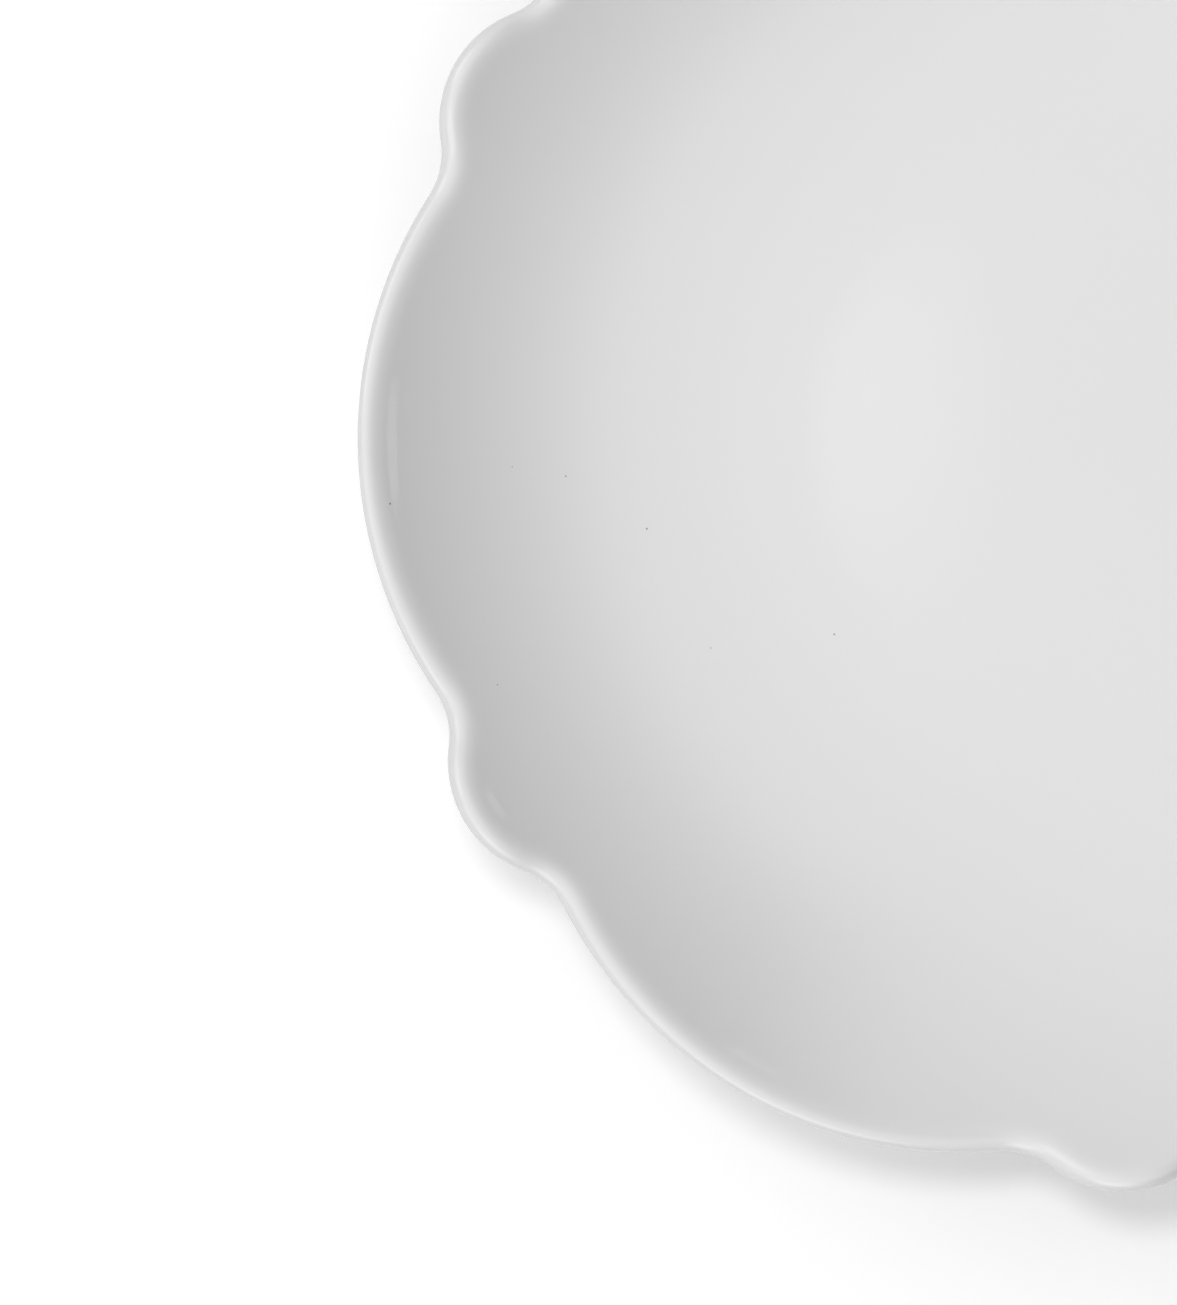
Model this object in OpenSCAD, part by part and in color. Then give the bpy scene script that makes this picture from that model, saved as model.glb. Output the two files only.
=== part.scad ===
// Scalloped dessert plate in glazed porcelain: a round dished well, cut at its rim
// into six large lobes with a small lobe between each two, and finished with a rounded lip.
// Millimetres, +Z up. The origin is the middle of the plane that the foot ring rests on.

/* [Outline] */
// Diameter of the circle that the tips of all lobes touch
plate_d = 200; // [185:1:230]
// Number of large lobes, with as many small lobes between them
lobe_pairs = 6; // [5:1:7]
// Radius of a large lobe, seen from above
large_lobe_r = 60; // [52:0.5:64]
// Radius of a small lobe, seen from above
small_lobe_r = 15.7; // [13:0.1:18]
// Radius of the hollow in the notch between two lobes
notch_r = 10.2; // [7:0.1:14]

/* [Section] */
// Radius of the level middle of the well
floor_r = 40; // [34:1:44]
// Radius at which the gentle curve of the well turns into the wall
well_r = 62; // [60:1:67]
// Slope of the well where the wall begins, in degrees
well_slope = 11.5; // [9:0.5:14]
// Slope of the wall where the lip begins, in degrees
wall_slope = 46.5; // [40:0.5:50]
// Thickness of the finished plate, glaze included
plate_t = 4.2; // [3.6:0.1:5.2]
// Width of the rounding on the upper side of the lip
lip_round = 4; // [3:0.1:5]
// Width of the rounding on the underside of the lip
lip_under = 2.4; // [1.8:0.1:3.2]
// Share of the thickness that the upper rounding takes on a large lobe
lip_share = 0.65; // [0.5:0.01:0.75]
// Share of the thickness that it takes on a small lobe, which is rolled down further
small_lip_share = 0.86; // [0.5:0.01:0.9]

/* [Foot ring] */
// Diameter of the foot ring where it would meet the table without its bevel
foot_d = 112; // [108:1:116]
// Thickness of the foot ring at the table
foot_t = 4.6; // [4:0.1:6]
// Height of the middle of the underside above the table
foot_h = 2.4; // [2.3:0.1:4]
// Slope of the foot ring's sides away from upright, in degrees
foot_draft = 8; // [4:1:14]
// Size of the fillet where the foot ring meets the underside
foot_fillet = 1.5; // [1.2:0.1:1.8]
// Width of the bevel on each edge of the bearing face
foot_bevel = 0.8; // [0.6:0.1:1.1]
// Height up to which the foot ring is wiped bare of glaze
bare_h = 0.8; // [0.6:0.1:1]

/* [Glaze] */
// Thickness of the glaze
glaze_t = 0.3; // [0.2:0.05:0.45]

/* [Hidden] */
body_colour = "#E9E4DA";
glaze_colour = "#F4F4F2";
recess_colour = "#E6EBEC";
plate_r = plate_d / 2;
foot_r = foot_d / 2;
floor_z = foot_h + plate_t;

// Steps along each half arc of the outline, and across each stretch of the section
large_steps = 5;
notch_steps = 2;
small_steps = 3;
well_steps = 3;
wall_steps = 4;
lip_steps = 5;
under_steps = 3;
fillet_steps = 3;
cut_facets = 96;

// Plane helpers
function dir(a) = [cos(a), sin(a)];
function unit(p) = p / norm(p);
function mix(a, b, u) = a + (b - a) * u;
function turn(p, a) = [p.x * cos(a) - p.y * sin(a), p.x * sin(a) + p.y * cos(a)];
function reversed(list) = [for (i = [len(list) - 1 : -1 : 0]) list[i]];
function bend(a, b, c, u) = mix(mix(a, b, u), mix(b, c, u), u);

// The outline is three tangent arcs between the middle of a large lobe, at angle 0,
// and the middle of its small neighbour. The notch arc touches both lobes from outside.
half = 180 / lobe_pairs;
large_c = [plate_r - large_lobe_r, 0];
small_c = (plate_r - small_lobe_r) * dir(half);
span = norm(small_c - large_c);
along = (span ^ 2 + (large_lobe_r + notch_r) ^ 2 - (small_lobe_r + notch_r) ^ 2) / (2 * span);
across = sqrt((large_lobe_r + notch_r) ^ 2 - along ^ 2);
towards = unit(small_c - large_c);
notch_c = large_c + along * towards + across * [towards.y, -towards.x];
large_end = atan2(notch_c.y - large_c.y, notch_c.x - large_c.x);
small_start = atan2(notch_c.y - small_c.y, notch_c.x - small_c.x);

// Each entry of the outline is a point and the direction straight out of the rim there
function lobe_arc(centre, r, from, to, steps, last) =
    [for (i = [0 : steps - 1 + last])
        let (out = dir(mix(from, to, i / steps))) [centre + r * out, out]];
half_sector = concat(
    lobe_arc(large_c, large_lobe_r, 0, large_end, large_steps, 0),
    lobe_arc(notch_c, -notch_r, large_end, small_start, notch_steps, 0),
    lobe_arc(small_c, small_lobe_r, small_start, half, small_steps, 1));
function mirrored(p) = turn([p.x, -p.y], 2 * half);
sector_steps = len(half_sector) - 1;
sector = concat(
    [for (i = [0 : sector_steps - 1]) half_sector[i]],
    [for (i = [sector_steps : -1 : 1]) [for (p = half_sector[i]) mirrored(p)]]);
outline = [for (k = [0 : lobe_pairs - 1]) for (e = sector) [for (p = e) turn(p, 2 * half * k)]];

// The well is a surface of revolution: a level floor, a gentle arc and a tighter wall arc.
// dish() gives its height at radius r, on the surface that lies depth under the finished face.
wall_r = plate_r - lip_round;
well_arc_r = (well_r - floor_r) / sin(well_slope);
wall_arc_r = (wall_r - well_r) / (sin(wall_slope) - sin(well_slope));
well_c = [floor_r, floor_z + well_arc_r];
wall_c = well_c + (well_arc_r - wall_arc_r) * [sin(well_slope), -cos(well_slope)];
function arc_z(centre, arc_r, r) = centre.y - sqrt(arc_r ^ 2 - (r - centre.x) ^ 2);
function dish(r, depth) =
    r <= floor_r ? floor_z - depth
    : r <= well_r + depth * sin(well_slope) ? arc_z(well_c, well_arc_r + depth, r)
    : arc_z(wall_c, wall_arc_r + depth, r);

// Rings of points, one point for each entry of the outline
function round_ring(at) = [for (e = outline) let (p = at.x * unit(e[0])) [p.x, p.y, at.y]];
function wall_ring(u, depth, lip_w) = [for (e = outline)
    let (p = mix(e[0] - lip_w * e[1], well_r * unit(e[0]), u)) [p.x, p.y, dish(norm(p), depth)]];
function top_share(p) =
    mix(lip_share, small_lip_share, (1 - cos(lobe_pairs * atan2(p.y, p.x))) / 2);
function lip_ring(angle, skin, lip_w, side) = [for (e = outline)
    let (p = e[0] - mix(lip_w, skin, cos(angle)) * e[1],
         top = dish(norm(p), skin),
         bottom = dish(norm(p), plate_t - skin),
         widest = mix(top, bottom, top_share(e[0])))
    [p.x, p.y, mix(widest, side > 0 ? top : bottom, sin(angle))]];

// The foot ring's sides and the fillets above them, as points of radius and height
function foot_side(z, skin) = [foot_r + z * tan(foot_draft) - skin, z];
function foot_inside(z, skin) = [foot_r - foot_t - z * tan(foot_draft) + skin, z];
function under(r, skin) = [r, dish(r, plate_t - skin)];
function outer_fillet(skin) =
    let (r = foot_side(under(foot_r, skin).y, skin).x,
         corner = under(r, skin),
         start = under(r + foot_fillet, skin),
         end = foot_side(corner.y - foot_fillet, skin))
    [for (i = [0 : fillet_steps]) bend(start, corner, end, i / fillet_steps)];
function inner_fillet(skin) =
    let (r = foot_inside(under(foot_r - foot_t, skin).y, skin).x,
         corner = under(r, skin),
         start = under(r - foot_fillet, skin),
         end = foot_inside(corner.y - foot_fillet, skin))
    [for (i = [0 : fillet_steps]) bend(start, corner, end, i / fillet_steps)];

// The faces that glaze covers, skin deep under the finished surface. The main face runs
// from the middle of the well over the lip and down to the edge of the bare foot.
function main_face(skin) = concat(
    [for (i = [0 : well_steps - 1])
        let (r = mix(floor_r, well_r, i / well_steps)) round_ring([r, dish(r, skin)])],
    [for (i = [wall_steps : -1 : 0]) wall_ring(i / wall_steps, skin, lip_round)],
    [for (i = [lip_steps - 1 : -1 : 0]) lip_ring(90 * i / lip_steps, skin, lip_round, 1)],
    [for (i = [1 : under_steps]) lip_ring(90 * i / under_steps, skin, lip_under, -1)],
    [for (i = [1 : wall_steps]) wall_ring(i / wall_steps, plate_t - skin, lip_under)],
    [for (at = outer_fillet(skin)) round_ring(at)],
    [round_ring(foot_side(bare_h, skin))]);
function recess_face(skin) = concat(
    [round_ring(under(floor_r, skin))],
    [for (at = inner_fillet(skin)) round_ring(at)],
    [round_ring(foot_inside(bare_h, skin))]);

// The bevels run on below the table, down to where grinding starts
function ground_ring(flat_r, side_at) = round_ring([2 * flat_r - side_at.x, -side_at.y]);
bare_foot = [
    ground_ring(foot_r - foot_bevel, foot_side(bare_h, glaze_t)),
    ground_ring(foot_r - foot_t + foot_bevel, foot_inside(bare_h, glaze_t))];

// Two triangles between neighbours a and b on one ring and those n places on, on the next.
// The shorter diagonal parts them, so that two solids which share the points share the face too.
function patch(points, a, b, n) =
    norm(points[a] - points[b + n]) <= norm(points[b] - points[a + n])
    ? [[a, b, b + n], [a, b + n, a + n]]
    : [[a, b, a + n], [b, b + n, a + n]];

// Closes a stack of rings into a solid, with a point on the axis at each end
module loft(rings, first_z, last_z) {
    n = len(outline);
    last = len(rings) - 1;
    ring_points = [for (ring = rings) for (p = ring) p];
    first_tip = len(ring_points);
    last_tip = first_tip + 1;
    points = concat(ring_points, [[0, 0, first_z], [0, 0, last_z]]);
    strips = [for (k = [0 : last - 1]) for (i = [0 : n - 1])
        each patch(points, k * n + i, k * n + (i + 1) % n, n)];
    first_fan = [for (i = [0 : n - 1]) [first_tip, (i + 1) % n, i]];
    last_fan = [for (i = [0 : n - 1]) [last_tip, last * n + i, last * n + (i + 1) % n]];
    polyhedron(points, concat(first_fan, strips, last_fan));
}

// The fired clay, with its foot ring ground flat on the table's plane
module porcelain_body() {
    rings = concat(main_face(glaze_t), bare_foot, reversed(recess_face(glaze_t)));
    color(body_colour)
        difference() {
            loft(rings, floor_z - glaze_t, foot_h + glaze_t);
            translate([0, 0, -2 * bare_h])
                cylinder(r = foot_r + foot_t, h = 2 * bare_h, $fn = cut_facets);
        }
}

// The glaze over the well, the lip, the outside wall and the outside of the foot ring
module glaze_coat() {
    color(glaze_colour)
        loft(concat(main_face(0), reversed(main_face(glaze_t))), floor_z, floor_z - glaze_t);
}

// The glaze on the underside, inside the foot ring
module recess_glaze() {
    color(recess_colour)
        loft(concat(recess_face(glaze_t), reversed(recess_face(0))), foot_h + glaze_t, foot_h);
}

porcelain_body();
glaze_coat();
recess_glaze();
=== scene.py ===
# %% [markdown]
# # A scalloped dessert plate
# The real plate is one piece of fired porcelain under a glossy white glaze, with a rim cut into
# lobes. The CAD frame already holds its solids at their true size. This lesson replaces each of
# them with a finer mesh on the same formulas, and gives it the finish of the real surface.

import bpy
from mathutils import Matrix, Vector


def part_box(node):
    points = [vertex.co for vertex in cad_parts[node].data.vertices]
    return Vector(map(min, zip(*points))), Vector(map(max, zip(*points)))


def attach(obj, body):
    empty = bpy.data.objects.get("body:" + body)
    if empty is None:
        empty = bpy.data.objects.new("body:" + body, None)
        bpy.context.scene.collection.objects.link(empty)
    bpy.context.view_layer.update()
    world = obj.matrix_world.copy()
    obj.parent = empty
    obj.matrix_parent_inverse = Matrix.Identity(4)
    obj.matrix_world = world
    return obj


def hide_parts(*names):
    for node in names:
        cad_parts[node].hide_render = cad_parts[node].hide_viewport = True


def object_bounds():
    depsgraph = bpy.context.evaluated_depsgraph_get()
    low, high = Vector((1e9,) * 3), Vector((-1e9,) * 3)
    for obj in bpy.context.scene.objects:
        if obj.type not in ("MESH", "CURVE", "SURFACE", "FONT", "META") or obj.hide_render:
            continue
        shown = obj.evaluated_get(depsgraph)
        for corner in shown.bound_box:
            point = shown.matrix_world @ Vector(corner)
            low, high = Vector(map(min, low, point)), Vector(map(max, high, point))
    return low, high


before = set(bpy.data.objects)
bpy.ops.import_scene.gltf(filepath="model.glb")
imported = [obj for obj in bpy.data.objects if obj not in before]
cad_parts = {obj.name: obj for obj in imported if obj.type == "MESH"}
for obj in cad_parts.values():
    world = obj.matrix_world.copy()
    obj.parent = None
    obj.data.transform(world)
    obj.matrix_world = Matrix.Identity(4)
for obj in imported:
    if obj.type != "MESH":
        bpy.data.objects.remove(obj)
cad_low, cad_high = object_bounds()
print("CAD box in metres:", tuple(cad_low), tuple(cad_high))

# %% Tools for the whole lesson
import math

import bpy
import numpy as np

MM = 0.001
print("nodes to dress:", sorted(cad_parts))

# %% [markdown]
# ## The rim, seen from above
# Large and small lobes take turns round the rim. Each lobe is an arc of a circle, and a third,
# hollow arc in the notch touches both of its neighbours. The rim could be drawn by hand as a
# Bezier curve, but tangent arcs are what a potter's template has, and they match the CAD exactly.

# %% Sizes of the rim
glaze_low, glaze_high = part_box("glaze_coat")
plate_r = (glaze_high.x - glaze_low.x) / 2
lobe_pairs = 6
large_lobe_r = 60 * MM
small_lobe_r = 15.7 * MM
notch_r = 10.2 * MM
half_sector = math.pi / lobe_pairs
print(f"the lobes reach {plate_r / MM:.1f} mm from the middle")


# %% Centres of the three arcs
def heading(angle):
    """The direction at an angle in plan, as a unit vector."""
    return np.array([math.cos(angle), math.sin(angle)])


large_c = np.array([plate_r - large_lobe_r, 0.0])
small_c = (plate_r - small_lobe_r) * heading(half_sector)
apart = np.linalg.norm(small_c - large_c)
large_reach, small_reach = large_lobe_r + notch_r, small_lobe_r + notch_r
along = (apart**2 + large_reach**2 - small_reach**2) / (2 * apart)
across = math.sqrt(large_reach**2 - along**2)
towards = (small_c - large_c) / apart
notch_c = large_c + along * towards + across * np.array([towards[1], -towards[0]])
large_end = math.atan2(*(notch_c - large_c)[::-1])
small_start = math.atan2(*(notch_c - small_c)[::-1])
print(f"a large lobe turns into the notch at {math.degrees(large_end):.1f} degrees")

# %% Points round the rim
large_steps, notch_steps, small_steps = 20, 8, 12


def arc(centre, radius, start, end, steps):
    """Points along an arc, each with the direction straight out of the rim there."""
    angles = start + (end - start) * np.arange(steps) / steps
    out = np.stack([np.cos(angles), np.sin(angles)], axis=1)
    return centre + radius * out, out


half_arcs = [
    arc(large_c, large_lobe_r, 0, large_end, large_steps),
    arc(notch_c, -notch_r, large_end, small_start, notch_steps),
    arc(small_c, small_lobe_r, small_start, half_sector, small_steps),
]
tip = heading(half_sector)
half_points = np.concatenate([points for points, out in half_arcs] + [[plate_r * tip]])
half_outs = np.concatenate([out for points, out in half_arcs] + [[tip]])


def whole_rim(half):
    """Mirrors the half lobe on its small lobe's middle, then repeats the pair round the plate."""
    c, s = math.cos(2 * half_sector), math.sin(2 * half_sector)
    mirrored = half[:0:-1] @ np.array([[c, s], [s, -c]])
    pair = np.concatenate([half[:-1], mirrored])
    turns = [k * 2 * half_sector for k in range(lobe_pairs)]
    spins = [np.array([[math.cos(t), math.sin(t)], [-math.sin(t), math.cos(t)]]) for t in turns]
    return np.concatenate([pair @ spin for spin in spins])


rim, rim_out = whole_rim(half_points), whole_rim(half_outs)
print("points round the rim:", len(rim))

# %% [markdown]
# ## The dish, in section
# Under the lobes the plate is a plain round dish: a level floor, a gentle arc and a tighter arc
# that climbs to the lip. The scallops only cut its edge, so the rim dips in every notch. A spun
# curve would give the dish, but the lobed rings need its height at any radius, which a formula
# gives. Each face is found by its depth under the finished surface: 0 for the eating face, the
# glaze's thickness for the clay below it, and the plate's thickness for the underside.

# %% Sizes of the section
floor_r, well_r = 40 * MM, 62 * MM
well_slope, wall_slope = math.radians(11.5), math.radians(46.5)
plate_t, glaze_t = 4.2 * MM, 0.3 * MM
lip_round, lip_under = 4.0 * MM, 2.4 * MM
lip_share, small_lip_share = 0.65, 0.86
foot_h = 2.4 * MM
floor_z = foot_h + plate_t
well_arc_r = (well_r - floor_r) / math.sin(well_slope)
wall_arc_r = (plate_r - lip_round - well_r) / (math.sin(wall_slope) - math.sin(well_slope))
well_c = np.array([floor_r, floor_z + well_arc_r])
down_the_slope = np.array([math.sin(well_slope), -math.cos(well_slope)])
wall_c = well_c + (well_arc_r - wall_arc_r) * down_the_slope
print(f"arcs of the section: {well_arc_r / MM:.0f} mm and {wall_arc_r / MM:.1f} mm")


# %% Height of the dish
def arc_height(centre, arc_r, r):
    """Height at radius r of an arc that hangs below its centre."""
    return centre[1] - np.sqrt(np.maximum(arc_r**2 - (r - centre[0]) ** 2, 0))


def dish(r, depth):
    """Height of the face that lies depth under the finished surface, at radius r."""
    r = np.asarray(r, dtype=float)
    gentle = arc_height(well_c, well_arc_r + depth, r)
    steep = arc_height(wall_c, wall_arc_r + depth, r)
    wall_start = well_r + depth * math.sin(well_slope)
    return np.select([r <= floor_r, r <= wall_start], [floor_z - depth, gentle], steep)


wall_top = dish(plate_r - lip_round, 0) - floor_z
print(f"the wall meets the lip {wall_top / MM:.1f} mm above the floor")

# %% [markdown]
# ## Rings of points
# Every piece of this plate is a stack of rings with faces between them, from the middle of the
# well, over the lip and back under the plate. Near the rim a ring follows the lobes; further in
# it relaxes to a circle. A lathe modifier could not do that, so the rings are computed.

# %% Rings on the floor and the wall
rim_r = np.linalg.norm(rim, axis=1)
rim_ray = rim / rim_r[:, None]
print(f"the notches cut {(plate_r - rim_r.min()) / MM:.1f} mm into the rim")


def stacked(plan, height):
    """Plan points and heights as one array of 3-D points."""
    return np.column_stack([plan, np.broadcast_to(height, len(plan))])


def round_ring(r, z):
    """A plain circle, with one point for each point of the rim."""
    return stacked(r * rim_ray, z)


def wall_ring(share, depth, lip_w):
    """A ring on the wall: the lip's inner edge at share 0, and the round well at share 1."""
    plan = (1 - share) * (rim - lip_w * rim_out) + share * well_r * rim_ray
    return stacked(plan, dish(np.linalg.norm(plan, axis=1), depth))


# %% Rings on the lip
rim_bearing = np.arctan2(rim[:, 1], rim[:, 0])
small_lobe = (1 - np.cos(lobe_pairs * rim_bearing)) / 2
top_share = lip_share + (small_lip_share - lip_share) * small_lobe
quarter_turn = math.pi / 2
print(f"the lip rolls down over {lip_share} to {small_lip_share} of the plate's thickness")


def lip_ring(angle, skin, lip_w, side):
    """A ring on the lip's rounding: its outermost edge at angle 0, and the wall at 90 degrees."""
    inset = lip_w + (skin - lip_w) * math.cos(angle)
    plan = rim - inset * rim_out
    r = np.linalg.norm(plan, axis=1)
    top, bottom = dish(r, skin), dish(r, plate_t - skin)
    widest = top + (bottom - top) * top_share
    end = top if side > 0 else bottom
    return stacked(plan, widest + math.sin(angle) * (end - widest))


# %% [markdown]
# ## The foot ring
# The plate stands on a ring turned from the same clay. Its sides lean a little, and a fillet
# leads each of them into the underside. The potter wipes its edge clean before the glaze firing,
# so that it doesn't stick to the kiln shelf: there the clay stays bare. The ring could be a mesh
# of its own, but the real one has no seam, so its sides are further rings of the same stack.

# %% Section of the foot ring
foot_r, foot_t = 56 * MM, 4.6 * MM
foot_lean = math.tan(math.radians(8))
foot_fillet, foot_bevel, bare_h = 1.5 * MM, 0.8 * MM, 0.8 * MM
print(f"the foot ring is {2 * foot_r / MM:.0f} mm across")


def foot_side(z, skin):
    """A point on the outside of the foot ring, as radius and height."""
    return np.array([foot_r + z * foot_lean - skin, z])


def foot_inside(z, skin):
    """A point on the inside of the foot ring, as radius and height."""
    return np.array([foot_r - foot_t - z * foot_lean + skin, z])


# %% Fillets of the foot ring
def bend(a, b, c, steps):
    """Points on a smooth bend that leaves a towards b and arrives at c."""
    shares = np.linspace(0, 1, steps + 1)[:, None]
    return (1 - shares) ** 2 * a + 2 * shares * (1 - shares) * b + shares**2 * c


def under(r, skin):
    """A point on the underside, as radius and height."""
    return np.array([r, float(dish(r, plate_t - skin))])


def foot_corner(side, r_start, outward, skin, steps):
    """The fillet from the underside into one side of the foot ring."""
    corner = under(side(under(r_start, skin)[1], skin)[0], skin)
    start = under(corner[0] + outward * foot_fillet, skin)
    return bend(start, corner, side(corner[1] - foot_fillet, skin), steps)


fillet_foot = foot_corner(foot_side, foot_r, 1, 0, 1)[-1]
print(f"the outer fillet ends {fillet_foot[1] / MM:.1f} mm above the table")

# %% [markdown]
# ## From rings to meshes
# The glaze covers two faces that never meet: the main one, from the well over the lip to the
# outside of the foot ring, and a disc inside the foot ring. One function gives each face at any
# depth, so the clay and the glaze that lies on it fit without a gap.

# %% Faces that carry glaze
floor_rings = np.array([4, 9, 15, 21, 26, 30, 32, 34, 36, 38]) * MM
well_steps, wall_steps, lip_steps, under_steps, fillet_steps = 14, 34, 14, 10, 8


def main_face(skin):
    """Rings from the middle of the well, over the lip, to the edge of the bare foot."""
    well = np.linspace(floor_r, well_r, well_steps, endpoint=False)
    rings = [round_ring(r, dish(r, skin)) for r in [*floor_rings, *well]]
    up_the_wall = np.arange(wall_steps, -1, -1) / wall_steps
    rings += [wall_ring(share, skin, lip_round) for share in up_the_wall]
    over_the_lip = quarter_turn * np.arange(lip_steps - 1, -1, -1) / lip_steps
    rings += [lip_ring(angle, skin, lip_round, 1) for angle in over_the_lip]
    under_the_lip = quarter_turn * np.arange(1, under_steps + 1) / under_steps
    rings += [lip_ring(angle, skin, lip_under, -1) for angle in under_the_lip]
    down_the_wall = np.arange(1, wall_steps + 1) / wall_steps
    rings += [wall_ring(share, plate_t - skin, lip_under) for share in down_the_wall]
    rings += [round_ring(*at) for at in foot_corner(foot_side, foot_r, 1, skin, fillet_steps)]
    return rings


def recess_face(skin):
    """Rings from the middle of the underside to the edge of the bare foot."""
    inner_r = foot_r - foot_t
    flat = np.linspace(floor_r, inner_r - 2 * foot_fillet, well_steps)
    rings = [round_ring(*under(r, skin)) for r in [*floor_rings, *flat]]
    rings += [round_ring(*at) for at in foot_corner(foot_inside, inner_r, -1, skin, fillet_steps)]
    return rings


print("rings on the main face:", len(main_face(0)), "and in the recess:", len(recess_face(0)))

# %% The edge where the glaze stops
edge_steps = 6


def glaze_edge(side, outward):
    """Wiped glaze ends in a small rounded bead on the foot's side."""
    outer, inner = side(bare_h, 0), side(bare_h, glaze_t)
    middle, radius = (outer + inner) / 2, glaze_t / 2
    turns = np.linspace(0, math.pi, edge_steps + 1)
    bead_r = middle[0] + outward * radius * np.cos(turns)
    bead_z = bare_h + radius - radius * np.sin(turns)
    return [round_ring(r, z) for r, z in zip(bead_r, bead_z)]


print(f"the glaze stops {bare_h / MM} mm above the table")

# %% [markdown]
# ## What the kiln does
# Porcelain softens in the fire, and a wide rim sinks by about the thickness of a hair, more on
# one pair of sides than on the other. The floor slumps a little too, inside the foot ring, and
# that softens the line along which it turns up into the well: a glossy floor with a sudden start
# of its curve would show every reflection twice there. A lattice could bend the finished mesh,
# but a little arithmetic on the points is easier to control.

# %% Slump of the floor
slump_half = 10 * MM
slump_depth = slump_half**2 / (6 * well_arc_r)


def slumped(r):
    """How far the well sinks at radius r, so that its curve starts and grows gradually."""
    softened = np.clip(r - floor_r + slump_half, 0, 2 * slump_half)
    past_edge = np.clip(r - floor_r, 0, slump_half)
    gradual = softened**3 / (12 * slump_half * well_arc_r)
    sudden = past_edge**2 / (2 * well_arc_r)
    return slump_depth - (gradual - sudden)


print(f"the floor sinks by {slump_depth / MM:.2f} mm")

# %% Sag of the rim
sag_start = 60 * MM
sag_least, sag_most = 0.04 * MM, 0.12 * MM
sag_bearing = math.radians(35)


def fired(points):
    """The points after firing: the rim has sunk, and so has the middle."""
    r = np.linalg.norm(points[:, :2], axis=1)
    bearing = np.arctan2(points[:, 1], points[:, 0])
    two_sided = (1 + np.cos(2 * (bearing - sag_bearing))) / 2
    reach = np.clip((r - sag_start) / (plate_r - sag_start), 0, 1) ** 2
    sunk = points.copy()
    sunk[:, 2] -= (sag_least + (sag_most - sag_least) * two_sided) * reach + slumped(r)
    return sunk


print(f"the rim sinks by {sag_least / MM:.2f} to {sag_most / MM:.2f} mm")

# %% [markdown]
# ## The three pieces
# A mesh needs points and faces. Blender could skin the rings with its own tools, but a stack of
# rings with as many points each is simply quads between neighbours, and a fan of triangles closes
# each end at the axis. Every piece is closed all round, as a real body is.


# %% Closing the rings into a piece
def loft(name, rings, first_z, last_z):
    """A closed mesh from a stack of rings, with a point on the axis at each end."""
    count, n = len(rings), len(rim)
    points = fired(np.concatenate([*rings, [[0, 0, first_z], [0, 0, last_z]]]))
    here = np.arange(n)
    there = (here + 1) % n
    bands = []
    for k in range(count - 1):
        low, high = k * n, (k + 1) * n
        bands += np.column_stack([low + here, high + here, high + there, low + there]).tolist()
    first_tip, last_tip, last = count * n, count * n + 1, (count - 1) * n
    first_fan = [(first_tip, a, b) for a, b in zip(here.tolist(), there.tolist())]
    last_fan = [(last_tip, last + b, last + a) for a, b in zip(here.tolist(), there.tolist())]
    mesh = bpy.data.meshes.new(name)
    mesh.from_pydata(points.tolist(), [], first_fan + bands + last_fan)
    mesh.validate()
    mesh.shade_smooth()
    piece = bpy.data.objects.new(name, mesh)
    bpy.context.collection.objects.link(piece)
    print(f"{name}: {len(mesh.vertices)} points, {len(mesh.polygons)} faces")
    return piece


# %% The glaze over the plate
glaze_rings = main_face(0) + glaze_edge(foot_side, 1) + main_face(glaze_t)[::-1]
glaze = loft("glaze_coat_fine", glaze_rings, floor_z, floor_z - glaze_t)

# %% The glaze inside the foot ring
recess_rings = recess_face(0) + glaze_edge(foot_inside, -1) + recess_face(glaze_t)[::-1]
recess = loft("recess_glaze_fine", recess_rings[::-1], foot_h + glaze_t, foot_h)

# %% The clay under both
bevel_steps = 5


def bare_bevel(side, flat_r):
    """The bare edge of the foot ring, rounded from its side to the ground bearing face."""
    start, corner, end = side(bare_h, glaze_t), side(0, glaze_t), np.array([flat_r, 0.0])
    return [round_ring(*at) for at in bend(start, corner, end, bevel_steps)]


bare_foot = bare_bevel(foot_side, foot_r - foot_bevel)
bare_foot += bare_bevel(foot_inside, foot_r - foot_t + foot_bevel)[::-1]
clay_rings = main_face(glaze_t) + bare_foot + recess_face(glaze_t)[::-1]
clay = loft("porcelain_body_fine", clay_rings, floor_z - glaze_t, foot_h + glaze_t)

# %% [markdown]
# ## Joining the pieces to the frame
# Each fine mesh stands for one CAD node, which stays in the physics model but is no longer shown.
# All of them ride on the frame's one body, because nothing on a plate moves.

# %% Ride and replace
for piece, node, slot in (
    (glaze, "glaze_coat", "white_glaze"),
    (recess, "recess_glaze", "white_glaze"),
    (clay, "porcelain_body", "bare_porcelain"),
):
    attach(piece, "root")
    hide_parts(node)
    print(piece.name, "stands for", node)

# %% [markdown]
# ## Glaze
# A white porcelain glaze is a thin layer of clear glass over white clay: one sharp reflection
# over an even white. It is never perfect. Its surface is faintly wavy like orange peel, its tone
# clouds a little, and iron in the clay shows as a few pin-sized specks. A painted picture could
# hold all that, but noise in the shader stays sharp at any distance and needs no unwrapping.


# %% Node helpers
def new_material(name):
    """A material with its nodes, its links and its main shader."""
    material = bpy.data.materials.new(name)
    material.use_nodes = True
    nodes = material.node_tree.nodes
    return material, nodes, material.node_tree.links, nodes["Principled BSDF"]


def add_node(nodes, kind, inputs=None, **settings):
    """Adds a shader node, with its settings and the values of its inputs."""
    node = nodes.new("ShaderNode" + kind)
    for key, value in settings.items():
        setattr(node, key, value)
    for key, value in (inputs or {}).items():
        node.inputs[key].default_value = value
    return node


print("materials before the first finish:", len(bpy.data.materials))

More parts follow.
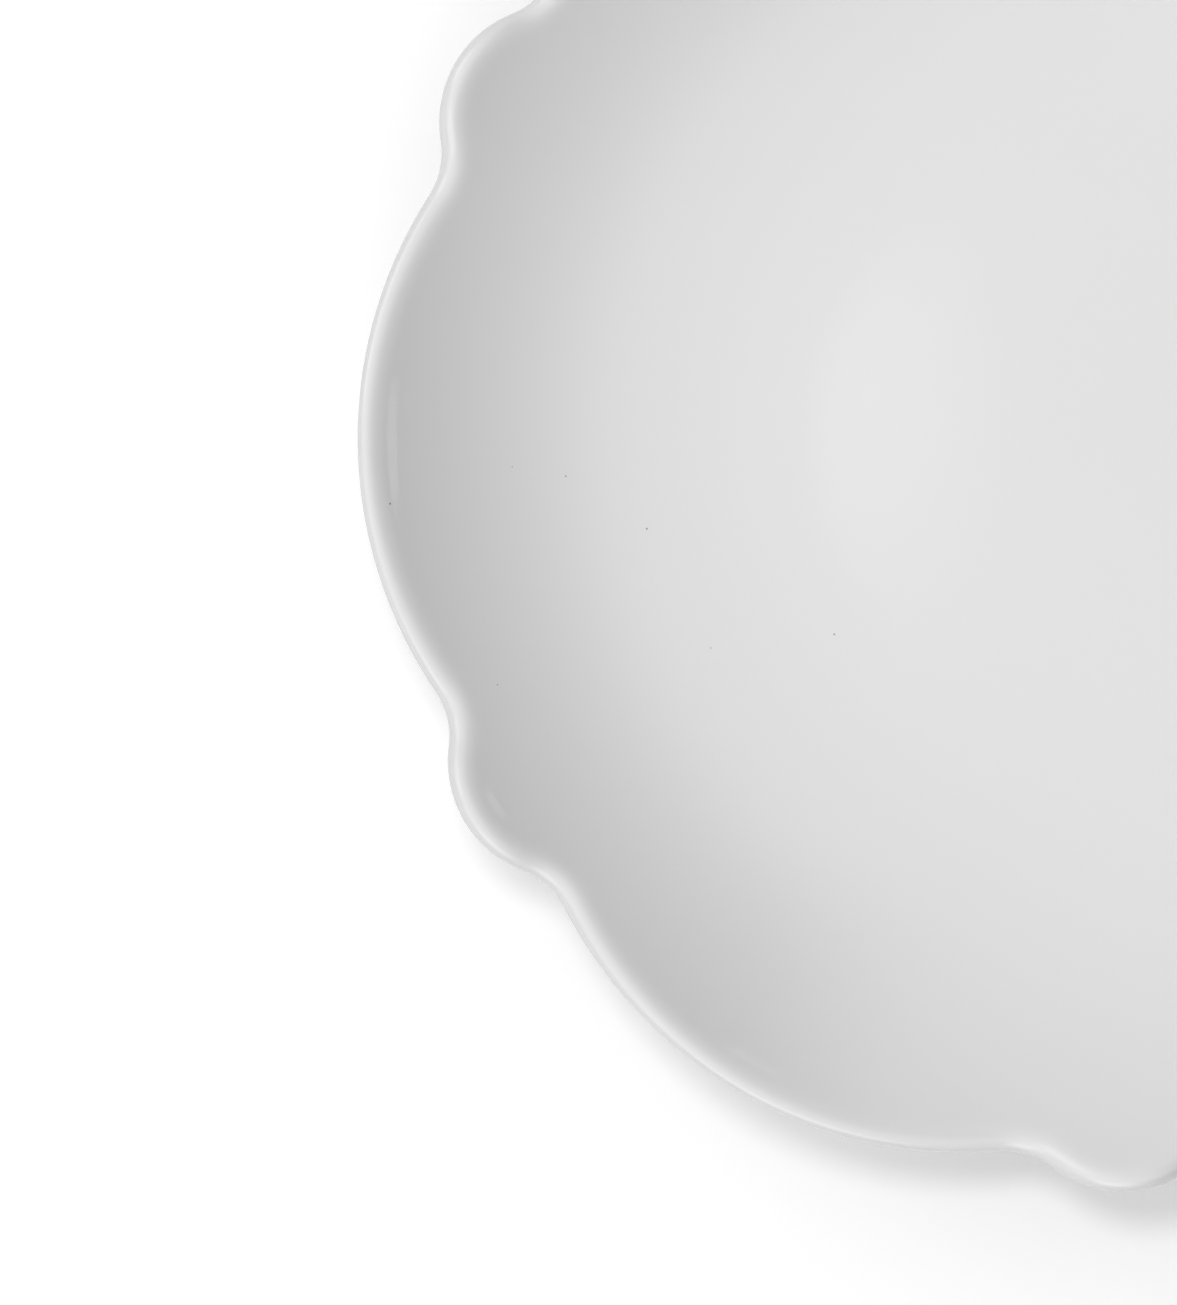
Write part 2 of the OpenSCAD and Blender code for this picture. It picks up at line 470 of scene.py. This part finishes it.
# %% Clouded glass
glass_ior = 1.6
smoothest, dullest = 0.03, 0.05
cloud_scale, peel_scale = 26.0, 190.0
peel_depth = 0.003 * MM


def clouded_glass(name, darker, paler):
    """Glossy glass over clay, between two tones, with a surface like faint orange peel."""
    material, nodes, links, shader = new_material(name)
    place = add_node(nodes, "TexCoord", label="place")
    shader.inputs["IOR"].default_value = glass_ior

    cloud = add_node(nodes, "TexNoise", {"Scale": cloud_scale, "Detail": 3.0})
    links.new(place.outputs["Object"], cloud.inputs["Vector"])
    tones = {"A": (*darker, 1), "B": (*paler, 1)}
    tone = add_node(nodes, "Mix", tones, data_type="RGBA", label="tone")
    links.new(cloud.outputs["Fac"], tone.inputs["Factor"])
    links.new(tone.outputs["Result"], shader.inputs["Base Color"])

    gloss = add_node(nodes, "MapRange", {"To Min": smoothest, "To Max": dullest})
    links.new(cloud.outputs["Fac"], gloss.inputs["Value"])
    links.new(gloss.outputs["Result"], shader.inputs["Roughness"])

    peel = add_node(nodes, "TexNoise", {"Scale": peel_scale, "Detail": 1.0})
    links.new(place.outputs["Object"], peel.inputs["Vector"])
    bump = add_node(nodes, "Bump", {"Strength": 1.0, "Distance": peel_depth}, label="peel")
    links.new(peel.outputs["Fac"], bump.inputs["Height"])
    links.new(bump.outputs["Normal"], shader.inputs["Normal"])
    return material


cloudy_white, clear_white = (0.795, 0.795, 0.795), (0.81, 0.81, 0.81)
glaze_finish = clouded_glass("white_glaze", cloudy_white, clear_white)
glaze.data.materials.append(glaze_finish)
print("glaze nodes:", len(glaze_finish.node_tree.nodes))

# %% [markdown]
# ## Iron specks
# Tiny grains of iron in the clay melt into the glaze and leave brown points, most of them finer
# than a pencil dot. A noise texture would sow them everywhere. A good plate shows only a handful,
# so each of them is listed: its position in plan, in millimetres, and its radius.

# %% Where the specks are
WELL_SPECKS = (
    (-95.8, -7.9, 0.19),
    (-61.9, -11.5, 0.17),
    (-72.6, -4.4, 0.14),
    (-37.1, -25.9, 0.16),
    (-82.0, -32.0, 0.12),
    (-79.7, -3.1, 0.10),
    (-53.6, -27.5, 0.10),
    (41.5, 52.0, 0.15),
    (70.3, -21.6, 0.17),
    (28.4, 74.9, 0.12),
)
UNDER_SPECKS = ((-74.2, 31.8, 0.22), (66.0, 38.5, 0.16), (12.7, -80.3, 0.19))


def speck_points():
    """The middle of every speck on the finished surface, with its radius, in metres."""
    points, radii = [], []
    for specks, depth in ((WELL_SPECKS, 0), (UNDER_SPECKS, plate_t)):
        plan = np.array(specks)[:, :2] * MM
        points.append(fired(stacked(plan, dish(np.linalg.norm(plan, axis=1), depth))))
        radii += [radius * MM for x, y, radius in specks]
    return np.concatenate(points), radii


speck_at, speck_r = speck_points()
print("specks:", len(speck_r))


# %% Helpers for a finish that is already there
def labelled(material, label):
    """The node of a material that carries a label."""
    return next(node for node in material.node_tree.nodes if node.label == label)


def fade_out(nodes, links, value, start, end, full=1.0):
    """The full value up to the start of a range, falling smoothly to 0 at its end."""
    limits = {"From Min": start, "From Max": end, "To Min": full, "To Max": 0.0}
    fade = add_node(nodes, "MapRange", limits, interpolation_type="SMOOTHSTEP")
    links.new(value, fade.inputs["Value"])
    return fade.outputs["Result"]


print("the glaze's tone comes from a", labelled(glaze_finish, "tone").bl_label, "node")

# %% Specks in the glaze
dark_share = 0.4


def add_specks(material, points, radii, colour):
    """Mixes a dark point into the tone wherever the surface comes near one of the points."""
    nodes, links = material.node_tree.nodes, material.node_tree.links
    place, tone = labelled(material, "place"), labelled(material, "tone")
    strongest = None
    for point, radius in zip(points.tolist(), radii):
        away = add_node(nodes, "VectorMath", operation="DISTANCE")
        away.inputs[1].default_value = point
        links.new(place.outputs["Object"], away.inputs[0])
        spot = fade_out(nodes, links, away.outputs["Value"], dark_share * radius, radius)
        if strongest is None:
            strongest = spot
            continue
        either = add_node(nodes, "Math", operation="MAXIMUM")
        links.new(strongest, either.inputs[0])
        links.new(spot, either.inputs[1])
        strongest = either.outputs[0]
    stain = add_node(nodes, "Mix", {"B": (*colour, 1)}, data_type="RGBA")
    links.new(strongest, stain.inputs["Factor"])
    links.new(tone.outputs["Result"], stain.inputs["A"])
    links.new(stain.outputs["Result"], nodes["Principled BSDF"].inputs["Base Color"])


iron_brown = (0.24, 0.22, 0.20)
add_specks(glaze_finish, speck_at, speck_r, iron_brown)
print("glaze nodes with specks:", len(glaze_finish.node_tree.nodes))

# %% [markdown]
# ## Under the plate
# Inside the foot ring the clay was trimmed with a tool on the wheel, and the glaze over it still
# shows the tool's rings. There it lies a little thicker, so it looks cooler. On the bearing face
# the bare clay is fine, dry and ground in circles, so that it doesn't scratch a table. The rings
# are finer than the mesh, so they are a wave texture in the bump, round the plate's axis.

# %% Rings round the axis
waves_per_metre = 20


def add_rings(material, over, period, depth, wander):
    """Puts concentric ridges under the bump node that carries the given label."""
    nodes, links = material.node_tree.nodes, material.node_tree.links
    place, fine = labelled(material, "place"), labelled(material, over)
    ring_scale = 2 * math.pi / (waves_per_metre * period)
    shape = {"Scale": ring_scale, "Distortion": wander, "Detail": 1.0, "Detail Scale": 0.4}
    rings = add_node(nodes, "TexWave", shape, wave_type="RINGS", rings_direction="Z")
    links.new(place.outputs["Object"], rings.inputs["Vector"])
    ridge = add_node(nodes, "Bump", {"Strength": 1.0, "Distance": depth})
    links.new(rings.outputs["Fac"], ridge.inputs["Height"])
    links.new(ridge.outputs["Normal"], fine.inputs["Normal"])
    print(f"{material.name}: rings {period / MM:.2f} mm apart")


cloudy_cool, clear_cool = (0.765, 0.78, 0.785), (0.785, 0.80, 0.805)
recess_finish = clouded_glass("recess_glaze", cloudy_cool, clear_cool)
add_rings(recess_finish, "peel", period=2.2 * MM, depth=0.03 * MM, wander=0.6)
recess.data.materials.append(recess_finish)


# %% Bare clay
clay_grey, clay_cream = (0.66, 0.63, 0.58, 1), (0.76, 0.74, 0.7, 1)
clay_roughness = 0.8
grain_scale, grain_strength, grain_depth = 2500.0, 0.6, 0.03 * MM


def bare_porcelain():
    """Dry, matt clay with a fine grain."""
    material, nodes, links, shader = new_material("bare_porcelain")
    place = add_node(nodes, "TexCoord", label="place")
    shader.inputs["Roughness"].default_value = clay_roughness
    grain = add_node(nodes, "TexNoise", {"Scale": grain_scale, "Detail": 4.0})
    links.new(place.outputs["Object"], grain.inputs["Vector"])
    tone = add_node(nodes, "Mix", {"A": clay_grey, "B": clay_cream}, data_type="RGBA")
    links.new(grain.outputs["Fac"], tone.inputs["Factor"])
    links.new(tone.outputs["Result"], shader.inputs["Base Color"])
    relief = {"Strength": grain_strength, "Distance": grain_depth}
    bump = add_node(nodes, "Bump", relief, label="grain")
    links.new(grain.outputs["Fac"], bump.inputs["Height"])
    links.new(bump.outputs["Normal"], shader.inputs["Normal"])
    return material


clay_finish = bare_porcelain()
add_rings(clay_finish, "grain", period=0.35 * MM, depth=0.02 * MM, wander=1.5)
clay.data.materials.append(clay_finish)

# %% [markdown]
# ## The stage
# The plate stands on one wide sheet of white paper that keeps its soft shadow. A photographer's
# white background is brighter than the light on the object would make it, so the paper adds a
# little white of its own where it is looked at. As a source of bounced light it is greyer than it
# looks: bright paper would light the rim from below, and the rim would melt into the background.

# %% A sheet of paper
paper_half = 4.0
paper_z = -0.02 * MM
square = [(-1, -1), (1, -1), (1, 1), (-1, 1)]
paper_corners = [(paper_half * x, paper_half * y, paper_z) for x, y in square]
floor_mesh = bpy.data.meshes.new("floor")
floor_mesh.from_pydata(paper_corners, [], [(0, 1, 2, 3)])
floor = bpy.data.objects.new("floor", floor_mesh)
bpy.context.collection.objects.link(floor)
print("the paper is", 2 * paper_half, "m wide")


# %% White where it is looked at
def seen_directly(nodes, links):
    """1 where the background is looked at, straight or in a reflection, and 0 where it lights."""
    path = add_node(nodes, "LightPath")
    either = add_node(nodes, "Math", operation="MAXIMUM")
    links.new(path.outputs["Is Camera Ray"], either.inputs[0])
    links.new(path.outputs["Is Glossy Ray"], either.inputs[1])
    every = add_node(nodes, "Math", operation="MAXIMUM")
    links.new(either.outputs[0], every.inputs[0])
    links.new(path.outputs["Is Transmission Ray"], every.inputs[1])
    return every.outputs[0]


bounce_grey, paper_white = (0.55, 0.55, 0.55, 1), (0.9, 0.9, 0.9, 1)
paper_roughness, own_white = 0.9, 0.18
paper, nodes, links, shader = new_material("white_paper")
looked_at = seen_directly(nodes, links)
paper_tone = add_node(nodes, "Mix", {"A": bounce_grey, "B": paper_white}, data_type="RGBA")
links.new(looked_at, paper_tone.inputs["Factor"])
links.new(paper_tone.outputs["Result"], shader.inputs["Base Color"])
shader.inputs["Roughness"].default_value = paper_roughness
shader.inputs["Specular IOR Level"].default_value = 0.0
shader.inputs["Emission Color"].default_value = (1, 1, 1, 1)
paper_lift = add_node(nodes, "Math", operation="MULTIPLY")
paper_lift.inputs[1].default_value = own_white
links.new(looked_at, paper_lift.inputs[0])
links.new(paper_lift.outputs[0], shader.inputs["Emission Strength"])
floor.data.materials.append(paper)
print(f"the paper adds {own_white} of white where it is looked at")

# %% The room
ambient = 0.58
world = bpy.data.worlds.new("studio")
bpy.context.scene.world = world
world.use_nodes = True
nodes, links = world.node_tree.nodes, world.node_tree.links
sky = nodes["Background"]
sky.inputs["Color"].default_value = (1, 1, 1, 1)
dim = add_node(nodes, "MapRange", {"To Min": ambient, "To Max": 1.0})
links.new(seen_directly(nodes, links), dim.inputs["Value"])
links.new(dim.outputs["Result"], sky.inputs["Strength"])
print(f"the room lights at {ambient} of the white that it shows")

# %% [markdown]
# ## Black flags
# White on white needs an edge. A photographer hangs black cloth left and right of a white plate,
# just out of the picture: the rim turns away from the light there and stands off the paper.
# The cloth on the right does a second job. In its left wall the glossy plate mirrors its own far
# rim as a pale crescent, and that shows only if the room behind that rim is dark. Both cloths
# are feathered, so that they draw no line in the glaze.

# %% Feathered black cloth
clear_from, clear_to = 0.35, 2.3
side_from, side_to = math.radians(50), math.radians(72)
cloth_tone = (0.01, 0.01, 0.01, 1)


def feathered_black():
    """Black cloth that thins out upwards and towards both sides."""
    material, nodes, links, shader = new_material("black_cloth")
    axes = add_node(nodes, "SeparateXYZ")
    links.new(add_node(nodes, "TexCoord").outputs["Object"], axes.inputs[0])
    bearing = add_node(nodes, "Math", operation="ARCTAN2")
    links.new(axes.outputs["Y"], bearing.inputs[0])
    links.new(axes.outputs["X"], bearing.inputs[1])
    aside = add_node(nodes, "Math", operation="ABSOLUTE")
    links.new(bearing.outputs[0], aside.inputs[0])
    cover = add_node(nodes, "Math", operation="MULTIPLY")
    links.new(fade_out(nodes, links, axes.outputs["Z"], clear_from, clear_to), cover.inputs[0])
    links.new(fade_out(nodes, links, aside.outputs[0], side_from, side_to), cover.inputs[1])
    links.new(cover.outputs[0], shader.inputs["Alpha"])
    shader.inputs["Base Color"].default_value = cloth_tone
    shader.inputs["Roughness"].default_value = 1.0
    shader.inputs["Specular IOR Level"].default_value = 0.0
    return material


black_cloth = feathered_black()
print(f"the cloth thins out between {clear_from} and {clear_to} m above the table")

# %% Two flags
flag_distance, flag_foot, flag_height = 1.3, 2 * MM, 2.4
flag_reach = math.radians(75)
flag_columns = 60


def black_flag(name, bearing):
    """A curved upright cloth beside the plate, at a bearing seen from the plate's middle."""
    turns = np.linspace(-flag_reach, flag_reach, flag_columns + 1)
    foot_row = [(*(flag_distance * heading(t)), flag_foot) for t in turns]
    top_row = [(*(flag_distance * heading(t)), flag_height) for t in turns]
    row = len(turns)
    faces = [(i, i + 1, i + row + 1, i + row) for i in range(flag_columns)]
    mesh = bpy.data.meshes.new(name)
    mesh.from_pydata(foot_row + top_row, [], faces)
    mesh.materials.append(black_cloth)
    flag = bpy.data.objects.new(name, mesh)
    flag.rotation_euler = (0, 0, bearing)
    flag.visible_camera = False
    bpy.context.collection.objects.link(flag)
    print(f"{name}: {flag_height} m high, {flag_distance} m from the plate's middle")


black_flag("right_flag", 0)
black_flag("left_flag", math.pi)

# %% [markdown]
# ## Light
# The room gives most of the light. A small key lamp, almost overhead, throws the short soft shadow
# below and to the right. Wide soft boxes round the plate model its wall, which turns away from the
# stronger ones on the left and so darkens towards the left rim. A wide lamp mirrors as a broad,
# faint sheen in the glaze, and its face fades towards the edge, as the cloth of a real soft box
# does, so that the sheen has no hard outline. The small lamp would draw hard white dots on the
# lip, so it is left out of reflections.

# %% The face of a soft box
full_share = 0.4
face_edge = 0.5
face_samples = 1001
steps_out = np.linspace(0, 1, face_samples)
faded = np.clip((steps_out - full_share) / (1 - full_share), 0, 1)
face_light = 1 - faded**2 * (3 - 2 * faded)
feather_gain = np.sum(steps_out) / np.sum(steps_out * face_light)
print(f"a feathered face is {feather_gain:.2f} times as bright in the middle as an even one")


def feather(lamp):
    """Fades a lamp's face to nothing at its edge, at the same total light."""
    lamp.use_nodes = True
    nodes, links = lamp.node_tree.nodes, lamp.node_tree.links
    away = add_node(nodes, "VectorMath", operation="DISTANCE")
    links.new(add_node(nodes, "NewGeometry").outputs["Parametric"], away.inputs[0])
    away.inputs[1].default_value = (face_edge, face_edge, 0)
    full_to = full_share * face_edge
    fade = fade_out(nodes, links, away.outputs["Value"], full_to, face_edge, feather_gain)
    links.new(fade, nodes["Emission"].inputs["Strength"])


# %% Soft boxes
LAMPS = {
    "key": dict(azimuth=145, elevation=79, across=0.18, watts=2.46),
    "left_back": dict(azimuth=145, elevation=34, across=1.2, watts=2.8),
    "left_front": dict(azimuth=216, elevation=34, across=1.2, watts=0.82),
    "front": dict(azimuth=255, elevation=34, across=1.2, watts=2.3),
}
smallest_mirrored = 0.3


def soft_lamp(name, azimuth, elevation, across, watts):
    """A round soft lamp, one metre from the middle of the plate and turned towards it."""
    lamp = bpy.data.lights.new(name, "AREA")
    lamp.shape = "DISK"
    lamp.size = across
    lamp.energy = watts
    holder = bpy.data.objects.new(name, lamp)
    bpy.context.collection.objects.link(holder)
    a, e = math.radians(azimuth), math.radians(elevation)
    holder.location = (*(math.cos(e) * heading(a)), math.sin(e))
    holder.rotation_mode = "QUATERNION"
    holder.rotation_quaternion = holder.location.to_track_quat("Z", "Y")
    holder.visible_camera = False
    holder.visible_glossy = across > smallest_mirrored
    if holder.visible_glossy:
        feather(lamp)
    print(f"{name}: {watts} W over {across} m")


for name, facts in LAMPS.items():
    soft_lamp(name, **facts)

# %% [markdown]
# ## Camera
# The photograph looks straight down on the plate, and shows a part of it. A camera could be
# placed by eye until the picture fits. Here the plate's middle and its radius, as they lie in the
# picture, give the camera's place and its lens, and a small turn lines the lobes up.

# %% Camera over the plate
photo_w, photo_h = 1177, 1305
photo_middle = np.array([photo_w / 2, photo_h / 2])
plate_middle_px = np.array([1115.0, 434.2])
plate_r_px = 757.4
turn = math.radians(-0.77)
camera_h = 2.0
metres_per_px = plate_r / plate_r_px
to_right, to_top = (photo_middle - plate_middle_px) * np.array([1, -1]) * metres_per_px
aim = to_right * heading(turn) + to_top * heading(turn + math.pi / 2)
print(f"the picture's middle is {to_right / MM:.1f} mm right and {to_top / MM:.1f} mm up")

# %% Lens
rim_below_top = 3 * MM
camera_to_rim = camera_h - cad_high.z + rim_below_top
view = bpy.data.cameras.new("camera")
view.sensor_width = 36.0
view.lens = view.sensor_width * camera_to_rim / (photo_h * metres_per_px)
view.clip_end = 20
camera = bpy.data.objects.new("camera", view)
camera.location = (*aim, camera_h)
camera.rotation_euler = (0, 0, turn)
bpy.context.collection.objects.link(camera)
bpy.context.scene.camera = camera
bpy.context.scene.view_settings.view_transform = "Standard"
print(f"lens {view.lens:.1f} mm, {camera_h} m above the table")

# %% [markdown]
# ## A silk overhead
# The level floor of the well is a faint mirror for whatever hangs straight above it. Here that is
# a small strip of lit silk, feathered to nothing at its edge, and the glaze shows it as a soft
# glow left of the plate's middle. One more lamp could do that, but it would light the plate too,
# and the silk is so faint that it only shows in the mirror. A mirror image lies on the line from
# the camera to the strip's mirrored twin, which gives the strip's place from that of the glow.


# %% Lit silk
def lit_silk(strength):
    """Light that fades from the middle of the strip to its edge, on cloth that hides nothing."""
    material, nodes, links, shader = new_material("lit_silk")
    away = add_node(nodes, "VectorMath", operation="LENGTH")
    links.new(add_node(nodes, "TexCoord").outputs["Object"], away.inputs[0])
    glow = add_node(nodes, "Emission")
    fade = fade_out(nodes, links, away.outputs["Value"], 0.0, 1.0, strength)
    links.new(fade, glow.inputs["Strength"])
    both = add_node(nodes, "AddShader")
    links.new(glow.outputs[0], both.inputs[0])
    links.new(add_node(nodes, "BsdfTransparent").outputs[0], both.inputs[1])
    links.new(both.outputs[0], nodes["Material Output"].inputs["Surface"])
    nodes.remove(shader)
    return material


silk_glow = 0.6
silk_cloth = lit_silk(silk_glow)
print(f"the silk glows at {silk_glow} of white in its middle")

# %% The strip over the plate
silk_h = 0.7
glow_at = np.array([-29.0, 4.0]) * MM
glow_reach = np.array([20.0, 42.0]) * MM
spread = (silk_h + camera_h) / camera_h
silk_at = glow_at * spread - aim * silk_h / camera_h
silk_mesh = bpy.data.meshes.new("silk")
silk_mesh.from_pydata([(x, y, 0) for x, y in square], [], [(0, 1, 2, 3)])
silk_mesh.materials.append(silk_cloth)
silk = bpy.data.objects.new("silk", silk_mesh)
silk.location = (*silk_at, silk_h)
silk.scale = (*(glow_reach * spread), 1)
silk.visible_camera = False
silk.visible_shadow = False
bpy.context.collection.objects.link(silk)
print("silk at", silk_at)
